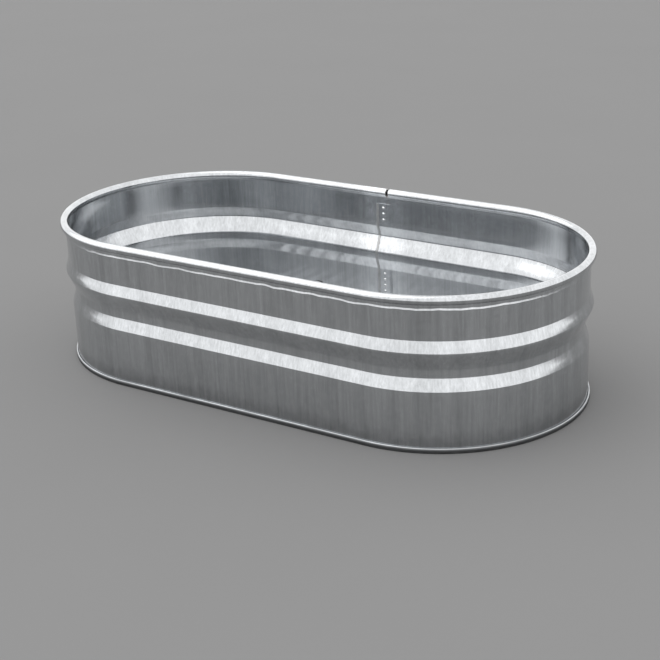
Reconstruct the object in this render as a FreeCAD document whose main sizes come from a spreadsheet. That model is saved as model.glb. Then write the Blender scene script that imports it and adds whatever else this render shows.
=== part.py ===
"""Low round-ended stock tank in galvanised sheet steel, built as one parametric document.

Frame: +X along the tank, +Z up, origin on the ground under the tank's centre, millimetres.
A sheet piece is drawn as a path in its section and given thickness there. In a section,
"across" is the distance outward from the middle of the wall sheet, and "up" is the height.
"""
import FreeCAD, Part
import math
import os
from FreeCAD import Placement, Rotation, Vector

DIMENSIONS = [
    ("overall_length", 1220, "over the rolled rim, nominal 4 ft"),
    ("overall_width", 617, "over the rolled rim, nominal 2 ft"),
    ("overall_height", 315, "ground to top of rim, nominal 1 ft"),
    ("gauge", 1.0, "sheet thickness"),
    ("rim_radius", 9, "outside radius of the rolled rim"),
    ("rim_offset", 2.5, "from the wall out to the middle of the rolled rim"),
    ("fold_step", 1.4, "step from one layer of the base seam to the next"),
    ("seam_top", 10.9, "height of the base seam band"),
    ("bead_depth", 8, "how far the wall beads stand out and in"),
    ("lower_crease", 124, "height where the lower bead leaves the lower wall"),
    ("upper_crease", 226, "height where the upper bead leaves the upper wall"),
    ("floor_top", 10, "height of the flat of the floor"),
    ("rib_pitch", 44, "spacing of the floor ribs"),
    ("rib_count", 25, "number of floor ribs"),
    ("rib_width", 24, "width of a rib where it meets the floor"),
    ("rib_rise", 5, "height of a rib above the floor"),
    ("rib_margin", 35, "from the wall to the ends of the ribs"),
    ("joint_gap", 1.5, "gap between the wall's ends behind the lap"),
    ("notch_width", 8, "gap in the rolled rim at the lap"),
    ("tube_gap", 5, "gap between the ends of the rim tube"),
    ("lap_length", 26, "how far the lap reaches past the joint"),
    ("lap_clearance", 0.1, "between the lap and the sheet behind it"),
    ("lap_bottom", 18, "height of the lap's lower end"),
    ("lap_top", 280, "height of the lap's upper end"),
    ("tube_wall", 1.5, "wall thickness of the rim tube"),
    ("tube_clearance", 0.1, "between the rim tube and the rolled rim"),
    ("rivet_shank", 3.2, "shank diameter of a seam rivet"),
    ("rivet_head", 7, "head diameter of a seam rivet"),
    ("rivet_dome", 1.6, "height of a rivet head"),
    ("rivet_line", 12, "from the joint to the line of rivets"),
    ("rivet_pitch", 14, "spacing of the rivets"),
    ("drain_place", -200, "distance of the drain from the tank's middle"),
    ("drain_height", 42, "height of the drain's axis"),
    ("wall_hole", 34, "hole through the wall for the drain"),
    ("barrel_size", 33.2, "outside diameter of the drain's barrel"),
    ("drain_bore", 26, "inside diameter of the drain"),
    ("plug_clearance", 0.05, "between the plug's shank and the drain's bore"),
]

LOWER_RIVETS = 7
UPPER_RIVETS = 3
LOWEST_RIVET = 28
LOWEST_UPPER_RIVET = 242

doc = FreeCAD.newDocument("StockTank")
sheet = doc.addObject("Spreadsheet::Sheet", "Dimensions")
for row, (alias, amount, note) in enumerate(DIMENSIONS, start=1):
    sheet.set(f"A{row}", note)
    sheet.set(f"B{row}", str(amount))
    sheet.setAlias(f"B{row}", alias)
doc.recompute()


def value(alias):
    return float(getattr(sheet, alias))


GAUGE = value("gauge")
HALF = GAUGE / 2
RIM_REACH = value("rim_offset") + value("rim_radius")
WALL_RADIUS = value("overall_width") / 2 - RIM_REACH
STRAIGHT = (value("overall_length") - value("overall_width")) / 2
RIM_MIDDLE = value("overall_height") - value("rim_radius")
CURL_RADIUS = value("rim_radius") - HALF
ABOUT_Z = Rotation(Vector(0, 0, 1), 180)
SIZE_OF_STRAIGHT = "(Dimensions.overall_length - Dimensions.overall_width) / 2"


# ---- sections drawn as paths -------------------------------------------------------------


def spot(across, up):
    """A point of the section, on the near side of the tank."""
    return Vector(0, -(WALL_RADIUS + across), up)


def runs_and_arcs(corners):
    """Straight runs and tangent arcs through corners given as (across, up, radius)."""
    pieces = []
    start = corners[0][:2]
    for before, corner, after in zip(corners, corners[1:], corners[2:]):
        here = corner[:2]
        came = math.atan2(here[1] - before[1], here[0] - before[0])
        goes = math.atan2(after[1] - here[1], after[0] - here[0])
        turn = (goes - came + math.pi) % (2 * math.pi) - math.pi
        cut = corner[2] * abs(math.tan(turn / 2))
        enter = (here[0] - cut * math.cos(came), here[1] - cut * math.sin(came))
        leave = (here[0] + cut * math.cos(goes), here[1] + cut * math.sin(goes))
        side = math.copysign(1, turn)
        middle = (enter[0] - side * corner[2] * math.sin(came), enter[1] + side * corner[2] * math.cos(came))
        pieces.append(("run", start, enter, came))
        pieces.append(("arc", middle, corner[2], came, turn))
        start = leave
    last = corners[-1][:2]
    pieces.append(("run", start, last, math.atan2(last[1] - start[1], last[0] - start[0])))
    return pieces


def beside(point, heading, offset):
    """The point moved to the left of a heading."""
    return (point[0] - offset * math.sin(heading), point[1] + offset * math.cos(heading))


def side_edges(pieces, offset):
    """Edges that follow the path at an offset to its left; going up, left is into the tank."""
    edges = []
    for piece in pieces:
        if piece[0] == "run":
            _, start, end, heading = piece
            ends = [spot(*beside(point, heading, offset)) for point in (start, end)]
            if ends[0].distanceToPoint(ends[1]) > 1e-4:
                edges.append(Part.makeLine(*ends))
        else:
            _, middle, radius, heading, turn = piece
            side = math.copysign(1, turn)
            outer = radius - side * offset
            marks = []
            for share in (0, 0.5, 1):
                angle = heading + share * turn - side * math.pi / 2
                marks.append(spot(middle[0] + outer * math.cos(angle), middle[1] + outer * math.sin(angle)))
            edges.append(Part.Arc(*marks).toShape())
    return edges


def strip(label, corners, left=HALF, right=-HALF):
    """Section of a sheet that follows the path, between two offsets from it."""
    pieces = runs_and_arcs(corners)
    inner = side_edges(pieces, left)
    outer = side_edges(pieces, right)
    ends = []
    for index, which in ((0, 0), (-1, -1)):
        ends.append(Part.makeLine(inner[index].Vertexes[which].Point, outer[index].Vertexes[which].Point))
    section = doc.addObject("Part::Feature", label)
    section.Shape = Part.Face(Part.Wire(Part.__sortEdges__(inner + outer + ends)))
    return section


def polygon(label, corners):
    """Section with straight sides."""
    points = [spot(across, up) for across, up in corners]
    section = doc.addObject("Part::Feature", label)
    section.Shape = Part.Face(Part.makePolygon(points + points[:1]))
    return section


# ---- sections swept round the tank -------------------------------------------------------


def straight_run(label, section, length, place, back=False):
    """The section drawn out along X; place is where it starts, and a back run goes towards -X."""
    run = doc.addObject("Part::Extrusion", label)
    run.Base = section
    run.DirMode = "Custom"
    run.Dir = Vector(1, 0, 0)
    run.Solid = True
    run.setExpression("LengthFwd", length)
    run.Placement = Placement(Vector(0, 0, 0), ABOUT_Z if back else Rotation())
    run.setExpression("Placement.Base.x", place)
    return run


def round_end(label, section, place, back=False):
    """The section turned half round the upright axis of one end."""
    end = doc.addObject("Part::Revolution", label)
    end.Source = section
    end.Axis = Vector(0, 0, 1)
    end.Base = Vector(0, 0, 0)
    end.Angle = 180
    end.Solid = True
    end.Placement = Placement(Vector(0, 0, 0), ABOUT_Z if back else Rotation())
    end.setExpression("Placement.Base.x", place)
    return end


def round_the_tank(label, section, gap=None):
    """Solids that carry a section round the whole tank, with an optional gap in the far side."""
    solids = [
        straight_run(label + "_near", section, f"2 * {SIZE_OF_STRAIGHT}", f"-{SIZE_OF_STRAIGHT}"),
        round_end(label + "_right", section, SIZE_OF_STRAIGHT),
        round_end(label + "_left", section, f"-{SIZE_OF_STRAIGHT}", back=True),
    ]
    if gap is None:
        solids.append(straight_run(label + "_far", section, f"2 * {SIZE_OF_STRAIGHT}", SIZE_OF_STRAIGHT, True))
        return solids
    rest = f"{SIZE_OF_STRAIGHT} - {gap} / 2"
    solids.append(straight_run(label + "_far_right", section, rest, SIZE_OF_STRAIGHT, True))
    solids.append(straight_run(label + "_far_left", section, rest, f"-{gap} / 2", True))
    return solids


def fuse(label, shapes):
    joined = doc.addObject("Part::MultiFuse", label)
    joined.Shapes = shapes
    joined.Refine = True
    return joined


def cut(label, base, tool):
    rest = doc.addObject("Part::Cut", label)
    rest.Base = base
    rest.Tool = tool
    rest.Refine = True
    return rest


def gather(label, shapes):
    group = doc.addObject("Part::Compound", label)
    group.Links = shapes
    return group


def rod(label, radius, length, place, axis=Vector(0, 1, 0)):
    """A cylinder whose radius and length are sheet expressions, from a place along an axis."""
    cylinder = doc.addObject("Part::Cylinder", label)
    cylinder.setExpression("Radius", radius)
    cylinder.setExpression("Height", length)
    cylinder.Placement = Placement(place, Rotation(Vector(0, 0, 1), axis))
    return cylinder


# ---- side wall ---------------------------------------------------------------------------


def wall_corners(bottom=None, top=None):
    """The wall's path: hook of the base seam, lower wall, beads, upper wall, curl and its hem."""
    step = value("fold_step")
    depth = value("bead_depth")
    low = value("lower_crease")
    high = value("upper_crease")
    turn_up = GAUGE + HALF
    body = [
        (0, low, 3),
        (-depth, low + 25, 6),
        (-depth, low + 42, 12),
        (depth, high - 24, 6),
        (0, high, 3),
    ]
    if bottom is not None:
        return [(0, bottom)] + body + [(0, top)]
    hook = [(2 * step, value("seam_top") - 3.5), (2 * step, turn_up, step), (0, turn_up, step)]
    crown = RIM_MIDDLE + CURL_RADIUS
    under = RIM_MIDDLE - CURL_RADIUS
    inside = value("rim_offset") - CURL_RADIUS
    outside = value("rim_offset") + CURL_RADIUS
    hem = HALF + value("tube_clearance") + HALF
    curl = [
        (0, under - 1, 2),
        (inside, under - 1 - inside, 5),
        (inside, crown, CURL_RADIUS),
        (outside, crown, CURL_RADIUS),
        (outside, under, CURL_RADIUS),
        (hem, under, 1),
        (hem, RIM_MIDDLE - 16, 3),
        (hem + 0.8, RIM_MIDDLE - 19.5),
    ]
    return hook + body + curl


def rivet_heights():
    pitch = value("rivet_pitch")
    lower = [LOWEST_RIVET + pitch * index for index in range(LOWER_RIVETS)]
    upper = [LOWEST_UPPER_RIVET + pitch * index for index in range(UPPER_RIVETS)]
    return lower + upper


def rivet_holes():
    """Cylinders along the rivets' shanks, through the wall and the lap."""
    holes = []
    for number, height in enumerate(rivet_heights(), start=1):
        place = Vector(-value("rivet_line"), WALL_RADIUS - 10, height)
        holes.append(rod(f"rivet_hole_{number}", "Dimensions.rivet_shank / 2", "20 * Dimensions.gauge", place))
    return holes


def make_side_wall():
    section = strip("wall_section", wall_corners())
    solids = round_the_tank("wall", section, "Dimensions.joint_gap")
    low, high = value("lap_bottom"), value("lap_top")
    near_face = HALF + value("lap_clearance")
    lap = strip("lap_section", wall_corners(low, high), near_face + GAUGE, near_face)
    joggle = strip("joggle_section", wall_corners(low, high), near_face + GAUGE, -HALF)
    width = "3 * Dimensions.gauge"
    solids.append(
        straight_run("lap", lap, "Dimensions.lap_length + Dimensions.joint_gap / 2 + " + width,
                     "Dimensions.joint_gap / 2 + " + width, True)
    )
    solids.append(straight_run("joggle", joggle, width, "Dimensions.joint_gap / 2 + " + width, True))
    notch = doc.addObject("Part::Box", "rim_notch")
    notch.setExpression("Length", "Dimensions.notch_width")
    notch.setExpression("Width", "3 * Dimensions.rim_radius")
    notch.setExpression("Height", "3 * Dimensions.rim_radius")
    notch.Placement.Base = Vector(-value("notch_width") / 2, WALL_RADIUS - 10, RIM_MIDDLE - 10)
    drain = Vector(value("drain_place"), WALL_RADIUS - 10, value("drain_height"))
    hole = rod("drain_hole", "Dimensions.wall_hole / 2", "20 * Dimensions.gauge", drain)
    openings = gather("wall_openings", [notch, hole] + rivet_holes())
    return cut("side_wall", fuse("wall_blank", solids), openings)


# ---- rim tube ----------------------------------------------------------------------------


def make_rim_tube():
    """Round tube that the curl is rolled over, bent to the tank's outline."""
    outer = CURL_RADIUS - HALF - value("tube_clearance")
    ring = []
    for radius in (outer, outer - value("tube_wall")):
        circle = Part.makeCircle(radius, spot(value("rim_offset"), RIM_MIDDLE), Vector(1, 0, 0))
        ring.append(Part.Face(Part.Wire(circle)))
    section = doc.addObject("Part::Feature", "tube_section")
    section.Shape = ring[0].cut(ring[1])
    return fuse("rim_tube", round_the_tank("tube", section, "Dimensions.tube_gap"))


# ---- floor -------------------------------------------------------------------------------


def rib_length(place):
    """Half length between the round ends of the rib that crosses the tank at this X."""
    reach = WALL_RADIUS - value("rib_margin")
    past = max(0, abs(place) - STRAIGHT)
    return math.sqrt(reach ** 2 - past ** 2) - value("rib_width") / 2


def rib_solid(label, place, radius_of):
    """Cylinder with round ends, lying across the tank with its top at the rib's crest."""
    half = rib_length(place)
    rise, width = value("rib_rise"), value("rib_width")
    bend = (width ** 2 / 4 + rise ** 2) / (2 * rise)
    axis_height = value("floor_top") + rise - bend
    middle = rod(label + "_middle", radius_of, str(2 * half), Vector(place, -half, axis_height))
    ends = []
    for side in (-1, 1):
        ball = doc.addObject("Part::Sphere", f"{label}_end_{'near' if side < 0 else 'far'}")
        ball.setExpression("Radius", radius_of)
        ball.Placement.Base = Vector(place, side * half, axis_height)
        ends.append(ball)
    return fuse(label, [middle] + ends)


def make_floor_pan():
    """Ribbed floor whose edge goes down inside the wall, under it, and over the wall's hook."""
    step, top = value("fold_step"), value("floor_top")
    inside = -GAUGE
    outside = 3 * step
    seam = value("seam_top") - HALF
    plate_edge = -30
    corners = [
        (plate_edge, top - HALF),
        (inside, top - HALF, 2),
        (inside, HALF, 1),
        (outside, HALF, step),
        (outside, seam, step),
        (step, seam, step),
        (step, 4.4),
    ]
    solids = round_the_tank("pan_edge", strip("pan_edge_section", corners))
    plate = polygon("plate_section", [(plate_edge, top - GAUGE), (-WALL_RADIUS, top - GAUGE),
                                      (-WALL_RADIUS, top), (plate_edge, top)])
    solids += round_the_tank("plate", plate)
    crests, hollows = [], []
    bend = "((Dimensions.rib_width / 2) ^ 2 + Dimensions.rib_rise ^ 2) / (2 * Dimensions.rib_rise)"
    count = int(value("rib_count"))
    for index in range(count):
        place = (index - (count - 1) / 2) * value("rib_pitch")
        crests.append(rib_solid(f"rib_{index}", place, bend))
        hollows.append(rib_solid(f"rib_hollow_{index}", place, bend + " - Dimensions.gauge"))
    slab = doc.addObject("Part::Box", "above_floor")
    slab.setExpression("Length", "Dimensions.overall_length")
    slab.setExpression("Width", "Dimensions.overall_width")
    slab.setExpression("Height", "4 * Dimensions.rib_rise")
    corner = Vector(-value("overall_length") / 2, -value("overall_width") / 2, top - HALF)
    slab.Placement.Base = corner
    tops = doc.addObject("Part::Common", "rib_tops")
    tops.Base = gather("ribs", crests)
    tops.Tool = slab
    pan = fuse("pan_blank", solids + [tops])
    return cut("floor_pan", pan, gather("rib_hollows", hollows))


# ---- seam rivets and sealing compound ----------------------------------------------------


def rivet_head(label, place, outward):
    """Domed head: the top of a ball, with its flat side on the sheet at the place."""
    half, dome = value("rivet_head") / 2, value("rivet_dome")
    ball_radius = (half ** 2 + dome ** 2) / (2 * dome)
    ball = doc.addObject("Part::Sphere", label)
    ball.Radius = ball_radius
    ball.Angle1 = math.degrees(math.asin(1 - dome / ball_radius))
    ball.Placement = Placement(place - outward * (ball_radius - dome), Rotation(Vector(0, 0, 1), outward))
    return ball


def make_seam_rivets():
    """Domed rivets through the lap: each is one shank with a head on both faces."""
    inner_face = WALL_RADIUS - HALF - value("lap_clearance") - GAUGE
    outer_face = WALL_RADIUS + HALF
    outward = Vector(0, 1, 0)
    rivets = []
    for number, height in enumerate(rivet_heights(), start=1):
        inside = Vector(-value("rivet_line"), inner_face, height)
        outside = Vector(-value("rivet_line"), outer_face, height)
        label = f"rivet_{number}"
        shank = rod(label + "_shank", "Dimensions.rivet_shank / 2", str(outer_face - inner_face), inside)
        heads = [rivet_head(label + "_inner", inside, -outward), rivet_head(label + "_outer", outside, outward)]
        rivets.append(fuse(label, [shank] + heads))
    return gather("seam_rivets", rivets)


def make_seam_sealant():
    """Compound pressed along the free edge of the lap, on the inside."""
    corners = wall_corners(value("lap_bottom") + 1, value("lap_top") - 1)
    section = strip("seam_sealant_section", corners, HALF + value("lap_clearance") + GAUGE, HALF)
    return straight_run("seam_sealant", section, "6 * Dimensions.gauge", "-Dimensions.lap_length", True)


def make_base_sealant():
    """Fillet of compound in the corner between floor and wall."""
    top = value("floor_top")
    section = polygon("base_sealant_section", [(-HALF, top), (-HALF - 7.5, top), (-HALF, top + 7)])
    return fuse("base_sealant", round_the_tank("base_bead", section))


# ---- drain -------------------------------------------------------------------------------

# Layers of the drain along Y, each starting where the last one ends: label, thickness.
DRAIN_LAYERS = [
    ("flange", 4),
    ("inner_gasket", 3),
    ("wall", 1),
    ("outer_gasket", 2),
    ("washer", 1),
    ("locknut", 6),
    ("barrel_end", 0.8),
    ("plug_washer", 1.6),
    ("plug_head", 5.4),
]


def drain_layer(label):
    """Where one layer of the drain starts along Y, and its thickness."""
    place = WALL_RADIUS - HALF - 3 - 4
    for name, thickness in DRAIN_LAYERS:
        if name == label:
            return place, thickness
        place += thickness


def drain_spot(along):
    return Vector(value("drain_place"), along, value("drain_height"))


def ring(label, outer, inner, layer):
    """Flat ring in one layer of the drain; outer and inner are diameters."""
    start, thickness = drain_layer(layer)
    disc = rod(label + "_disc", f"{outer} / 2", str(thickness), drain_spot(start))
    bore = rod(label + "_bore", f"{inner} / 2", str(thickness + 2), drain_spot(start - 1))
    return cut(label, disc, bore)


def hexagon(label, flats, layer):
    """Hexagonal prism in one layer of the drain, with its corners turned off by a cone."""
    start, thickness = drain_layer(layer)
    prism = doc.addObject("Part::Prism", label + "_prism")
    prism.Polygon = 6
    prism.Circumradius = flats / math.sqrt(3)
    prism.Height = thickness
    prism.Placement = Placement(drain_spot(start), Rotation(Vector(0, 0, 1), Vector(0, 1, 0)))
    cone = doc.addObject("Part::Cone", label + "_turned")
    cone.Radius1 = flats / 2 + 3 * thickness
    cone.Radius2 = flats / 2
    cone.Height = thickness
    cone.Placement = prism.Placement
    shaped = doc.addObject("Part::Common", label)
    shaped.Base = prism
    shaped.Tool = cone
    return shaped


def make_drain():
    """Spud, its two gaskets, washer and locknut, and the screw plug with its washer."""
    flange_start, flange_thickness = drain_layer("flange")
    barrel_end = drain_layer("plug_washer")[0]
    length = barrel_end - flange_start
    flange = rod("spud_flange", "24", str(flange_thickness), drain_spot(flange_start))
    barrel = rod("spud_barrel", "Dimensions.barrel_size / 2", str(length), drain_spot(flange_start))
    bore = rod("spud_bore", "Dimensions.drain_bore / 2", str(length + 2), drain_spot(flange_start - 1))
    parts = [cut("drain_spud", fuse("spud_blank", [flange, barrel]), bore)]
    parts.append(ring("drain_gasket_inner", 46, "Dimensions.wall_hole", "inner_gasket"))
    parts.append(ring("drain_gasket_outer", 48, "Dimensions.wall_hole", "outer_gasket"))
    parts.append(ring("drain_washer", 50, "Dimensions.wall_hole", "washer"))
    nut_start, nut_thickness = drain_layer("locknut")
    nut_bore = rod("locknut_bore", "Dimensions.barrel_size / 2", str(nut_thickness + 2), drain_spot(nut_start - 1))
    parts.append(cut("drain_locknut", hexagon("locknut_blank", 46, "locknut"), nut_bore))
    parts.append(ring("plug_washer", 33, "Dimensions.drain_bore", "plug_washer"))
    head_start = drain_layer("plug_head")[0]
    shank_length = 14
    shank = rod("plug_shank", "Dimensions.drain_bore / 2 - Dimensions.plug_clearance",
                str(shank_length + 1), drain_spot(head_start - shank_length))
    parts.append(fuse("drain_plug", [hexagon("plug_head", 32, "plug_head"), shank]))
    return parts


# ---- build, test and write ---------------------------------------------------------------

pieces = [
    make_side_wall(),
    make_rim_tube(),
    make_floor_pan(),
    make_seam_rivets(),
    make_seam_sealant(),
    make_base_sealant(),
] + make_drain()
doc.recompute()

for thing in doc.Objects:
    if "Invalid" in thing.State or "Error" in thing.State:
        raise RuntimeError(f"{thing.Label} failed: {thing.State}")
for piece in pieces:
    if piece.Shape.isNull() or not piece.Shape.isValid():
        raise RuntimeError(f"{piece.Label} has a bad shape")

os.makedirs("parts", exist_ok=True)
for piece in pieces:
    piece.Shape.exportStep(f"parts/{piece.Label}.step")
    print(piece.Label, len(piece.Shape.Solids), "solids", round(piece.Shape.Volume / 1000, 1), "cm3")
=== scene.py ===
"""Low round-ended galvanised stock tank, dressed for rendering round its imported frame.

Metres. +X along the tank, +Y towards the long side with the lap seam and the drain, +Z up.
In a sheet's section, "across" is the distance outward from the middle of the wall sheet.
"""
import math

import bpy
from mathutils import Matrix, Vector, noise


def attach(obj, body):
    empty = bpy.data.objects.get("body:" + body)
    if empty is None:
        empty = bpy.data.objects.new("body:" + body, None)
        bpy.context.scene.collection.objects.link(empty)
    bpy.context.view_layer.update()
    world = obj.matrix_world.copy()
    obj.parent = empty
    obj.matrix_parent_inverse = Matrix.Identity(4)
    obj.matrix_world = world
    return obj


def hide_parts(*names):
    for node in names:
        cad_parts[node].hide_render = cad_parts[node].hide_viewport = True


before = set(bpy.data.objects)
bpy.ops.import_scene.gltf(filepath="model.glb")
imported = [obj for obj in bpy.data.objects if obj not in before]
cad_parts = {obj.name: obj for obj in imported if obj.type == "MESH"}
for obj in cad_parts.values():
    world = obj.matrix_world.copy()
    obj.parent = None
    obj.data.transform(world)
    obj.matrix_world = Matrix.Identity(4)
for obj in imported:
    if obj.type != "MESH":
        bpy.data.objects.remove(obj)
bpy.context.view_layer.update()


# ---- camera ------------------------------------------------------------------------------
# A hand-held view from a little above, off the right end, with the horizon tipped slightly.

CAMERA_PLACE = Vector((1.6622, -2.4006, 1.2101))
CAMERA_AIM = Vector((0.1207, -0.1345, 0.1460))
CAMERA_TIP = math.radians(-2.37)

camera_data = bpy.data.cameras.new("camera")
camera_data.sensor_width = 36
camera_data.lens = 79.23
camera_data.clip_end = 60
camera = bpy.data.objects.new("camera", camera_data)
bpy.context.scene.collection.objects.link(camera)
look = (CAMERA_AIM - CAMERA_PLACE).normalized()
turned = look.to_track_quat("-Z", "Y").to_matrix().to_4x4()
camera.matrix_world = Matrix.Translation(CAMERA_PLACE) @ turned @ Matrix.Rotation(CAMERA_TIP, 4, "Z")
bpy.context.scene.camera = camera


# ---- side wall ---------------------------------------------------------------------------
# One strip of 1 mm hot-dip galvanised sheet, beaded in rolls, bent to the round-ended
# outline and lapped on the far side. Its top is rolled outward over a tube for the rim,
# and its foot is folded into the base seam.

WALL_RADIUS = 0.297
STRAIGHT = 0.3015
GAUGE = 0.001
AROUND = 4 * STRAIGHT + 2 * math.pi * WALL_RADIUS
LIP_HEIGHT = 0.2865
ZINC = (0.56, 0.575, 0.59, 1)


def set_inputs(tree, node, inputs):
    """Sets a node's inputs to values, or joins them to other nodes' sockets."""
    for place, source in inputs.items():
        if isinstance(source, bpy.types.NodeSocket):
            tree.links.new(source, node.inputs[place])
        else:
            node.inputs[place].default_value = source


def add_node(tree, kind, inputs=None, **settings):
    """A new node of a tree, with its settings and inputs."""
    made = tree.nodes.new(kind)
    made.location = (190 * len(tree.nodes), 0)
    for name, setting in settings.items():
        setattr(made, name, setting)
    set_inputs(tree, made, inputs or {})
    return made


def calc(tree, operation, *terms):
    """The output of a Math node."""
    return add_node(tree, "ShaderNodeMath", dict(enumerate(terms)), operation=operation).outputs[0]


def vector_calc(tree, operation, inputs):
    """The output of a Vector Math node."""
    return add_node(tree, "ShaderNodeVectorMath", inputs, operation=operation).outputs[0]


def product(tree, *terms):
    """Two or more terms multiplied together."""
    total = terms[0]
    for term in terms[1:]:
        total = calc(tree, "MULTIPLY", total, term)
    return total


def held(tree, amount, low, high):
    """The amount kept between two others."""
    return calc(tree, "MINIMUM", calc(tree, "MAXIMUM", amount, low), high)


def eased(tree, amount, start, end):
    """Goes from 0 to 1 as the amount goes from start to end, slowly at both ends."""
    return add_node(tree, "ShaderNodeMapRange", {0: amount, 1: start, 2: end},
                    interpolation_type="SMOOTHSTEP").outputs[0]


def ramped(tree, amount, start, end, top=1.0):
    """Goes evenly from 0 to top as the amount goes from start to end."""
    return add_node(tree, "ShaderNodeMapRange", {0: amount, 1: start, 2: end, 4: top}).outputs[0]


def fuzz(tree, place, scale, detail, roughness=0.5):
    """Smooth noise, from 0 to 1, over a place in space."""
    return add_node(tree, "ShaderNodeTexNoise", {"Vector": place, "Scale": scale, "Detail": detail,
                                                 "Roughness": roughness}).outputs[0]


def fuzz_along(tree, distance, scale, detail):
    """Smooth noise, from 0 to 1, along a distance."""
    return add_node(tree, "ShaderNodeTexNoise", {"W": distance, "Scale": scale, "Detail": detail},
                    noise_dimensions="1D").outputs[0]


def off_middle(tree, share):
    """A value from 0 to 1 as one from -0.5 to 0.5."""
    return calc(tree, "SUBTRACT", share, 0.5)


def parts_of(tree, vector):
    """The X, Y and Z of a vector."""
    return add_node(tree, "ShaderNodeSeparateXYZ", {0: vector}).outputs


def vector_of(tree, x, y, z=0.0):
    """A vector from its X, Y and Z."""
    return add_node(tree, "ShaderNodeCombineXYZ", {0: x, 1: y, 2: z}).outputs[0]


def point_place(tree):
    """The position of each point of the geometry."""
    return add_node(tree, "GeometryNodeInputPosition").outputs[0]


def new_tree(name, inputs, outputs, kind="GeometryNodeTree"):
    """A node tree with named sockets; returns it, the sockets its inputs give, and its output node."""
    tree = bpy.data.node_groups.new(name, kind)
    for label, socket_kind, amount in inputs:
        socket = tree.interface.new_socket(label, in_out="INPUT", socket_type=socket_kind)
        if amount is not None:
            socket.default_value = amount
    for label, socket_kind in outputs:
        tree.interface.new_socket(label, in_out="OUTPUT", socket_type=socket_kind)
    given = tree.nodes.new("NodeGroupInput").outputs
    return tree, given, tree.nodes.new("NodeGroupOutput")


def end_tree(tree, result, geometry, material):
    """Ends a tree: instances made real, and the material set."""
    realized = add_node(tree, "GeometryNodeRealizeInstances", {"Geometry": geometry})
    coated = add_node(tree, "GeometryNodeSetMaterial", {"Geometry": realized.outputs[0],
                                                        "Material": material})
    tree.links.new(coated.outputs[0], result.inputs[0])
    return tree


def filleted(corners, turn_step=14):
    """Points along a path given as corners (across, up, fillet radius), in millimetres."""
    points = [Vector(corners[0][:2])]
    for before, corner, after in zip(corners, corners[1:], corners[2:]):
        here = Vector(corner[:2])
        to_before = (Vector(before[:2]) - here).normalized()
        to_after = (Vector(after[:2]) - here).normalized()
        turn = math.pi - to_before.angle(to_after)
        cut = corner[2] * math.tan(turn / 2)
        side = to_before + to_after
        middle = here + side.normalized() * math.hypot(cut, corner[2])
        start = here + to_before * cut - middle
        steps = max(2, round(math.degrees(turn) / turn_step))
        sense = math.copysign(1, to_before.cross(to_after))
        for step in range(steps + 1):
            angle = -sense * turn * step / steps
            spin = Matrix.Rotation(angle, 2)
            points.append(middle + spin @ start)
    points.append(Vector(corners[-1][:2]))
    return points


def divided(points, longest):
    """The points, with more of them on the runs that are longer than a given length."""
    more = [points[0]]
    for start, end in zip(points, points[1:]):
        pieces = max(1, math.ceil((end - start).length / longest))
        more += [start.lerp(end, step / pieces) for step in range(1, pieces + 1)]
    return more


def section_object(name, points):
    """A chain of points in the XY plane, X across and Y up, for a tree to sweep."""
    mesh = bpy.data.meshes.new(name)
    mesh.from_pydata([(p.x / 1000, p.y / 1000, 0) for p in points],
                     [(i, i + 1) for i in range(len(points) - 1)], [])
    made = bpy.data.objects.new(name, mesh)
    bpy.context.scene.collection.objects.link(made)
    return made


def outline_place(tree, distance, radius, straight):
    """Place on the tank's outline, and the outward direction there, at a distance from the seam."""
    half_turn = calc(tree, "MULTIPLY", radius, math.pi)
    first = calc(tree, "MINIMUM", distance, straight)
    after_first = calc(tree, "SUBTRACT", distance, straight)
    turn_1 = calc(tree, "DIVIDE", held(tree, after_first, 0.0, half_turn), radius)
    after_left = calc(tree, "SUBTRACT", after_first, half_turn)
    near_length = calc(tree, "MULTIPLY", straight, 2.0)
    near = held(tree, after_left, 0.0, near_length)
    after_near = calc(tree, "SUBTRACT", after_left, near_length)
    turn_2 = calc(tree, "DIVIDE", held(tree, after_near, 0.0, half_turn), radius)
    last = calc(tree, "MAXIMUM", calc(tree, "SUBTRACT", after_near, half_turn), 0.0)
    turned = calc(tree, "ADD", turn_1, turn_2)
    x = calc(tree, "SUBTRACT", near, calc(tree, "ADD", first, last))
    bulge = calc(tree, "SUBTRACT", calc(tree, "SINE", turn_2), calc(tree, "SINE", turn_1))
    x = calc(tree, "MULTIPLY_ADD", bulge, radius, x)
    nearer = calc(tree, "SUBTRACT", calc(tree, "COSINE", turn_1), calc(tree, "COSINE", turn_2))
    y = product(tree, calc(tree, "ADD", nearer, 1.0), radius)
    out_x = calc(tree, "MULTIPLY", calc(tree, "SINE", turned), -1.0)
    return x, y, out_x, calc(tree, "COSINE", turned)


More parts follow.
